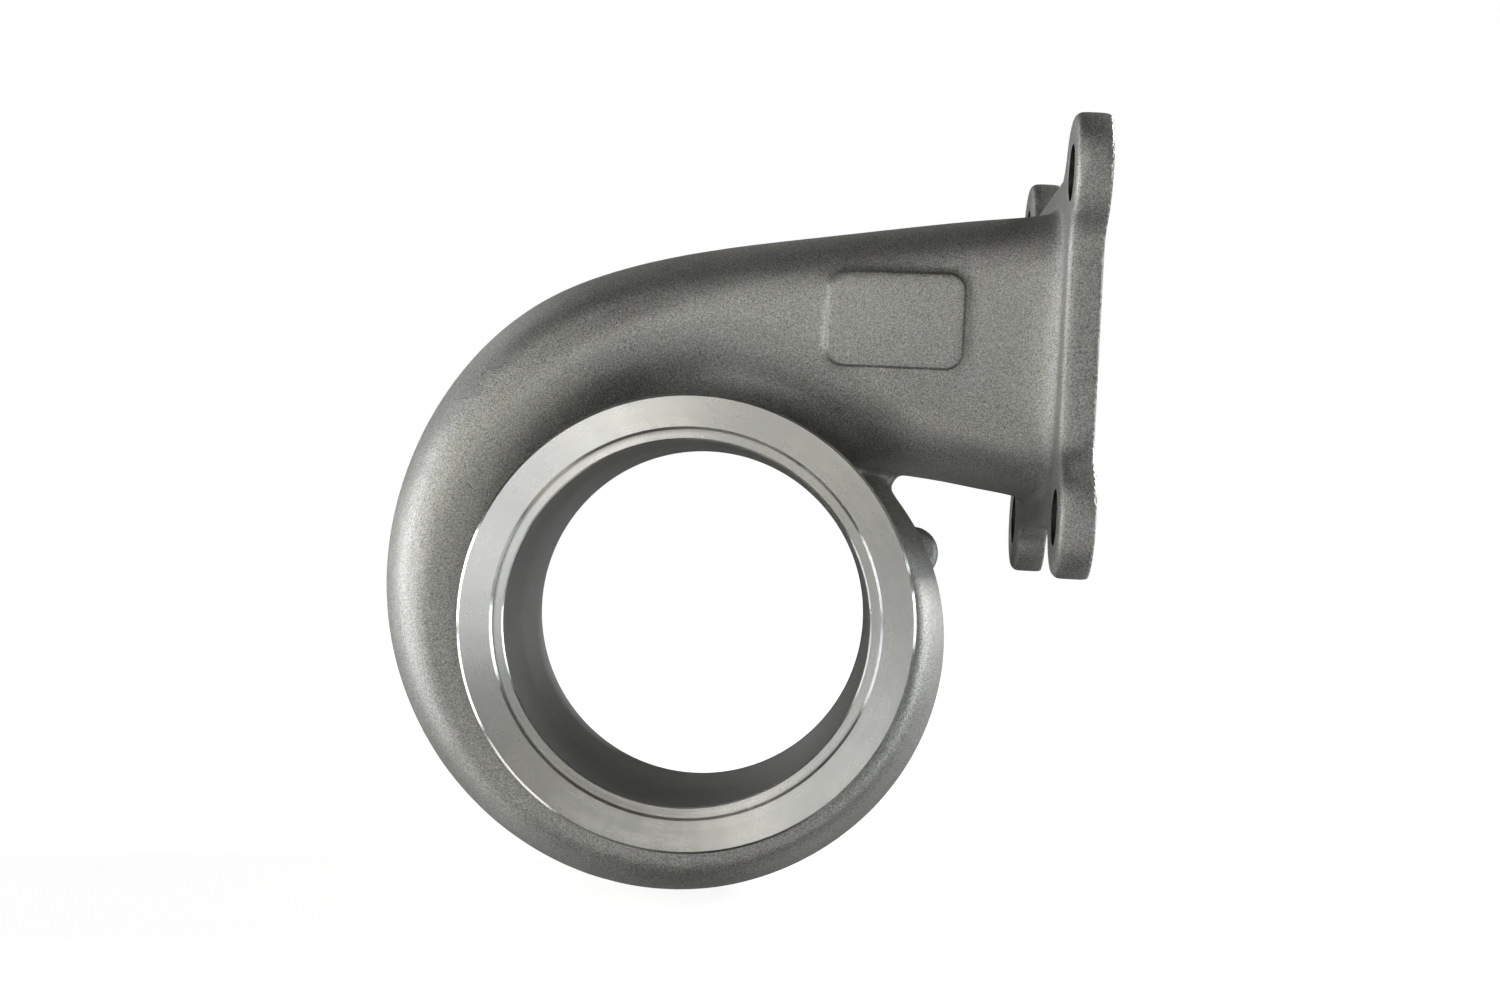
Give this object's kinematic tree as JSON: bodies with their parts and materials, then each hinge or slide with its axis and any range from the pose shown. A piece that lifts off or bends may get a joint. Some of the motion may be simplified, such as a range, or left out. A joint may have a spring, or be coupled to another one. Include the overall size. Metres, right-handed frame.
{
  "type": "turbocharger turbine housing",
  "caption": "Cast snail-shaped turbine housing with a four-bolt rectangular inlet flange, a round clamp-rim outlet and a bolted seat for the centre housing.",
  "frame": {"origin": "on the turbine axis, in the plane of the exhaust outlet's face", "axes": "+Y along the turbine axis from the outlet towards the centre housing, +X along the inlet flange's outward normal, +Z from the turbine axis towards the inlet"},
  "size_m": [0.1434, 0.1156, 0.1623],
  "materials": {
    "cast_steel": "bead-blasted heat-resistant casting with turned and milled faces"
  },
  "bodies": {
    "root": {"turbine_housing": "cast_steel"}
  },
  "joints": []
}
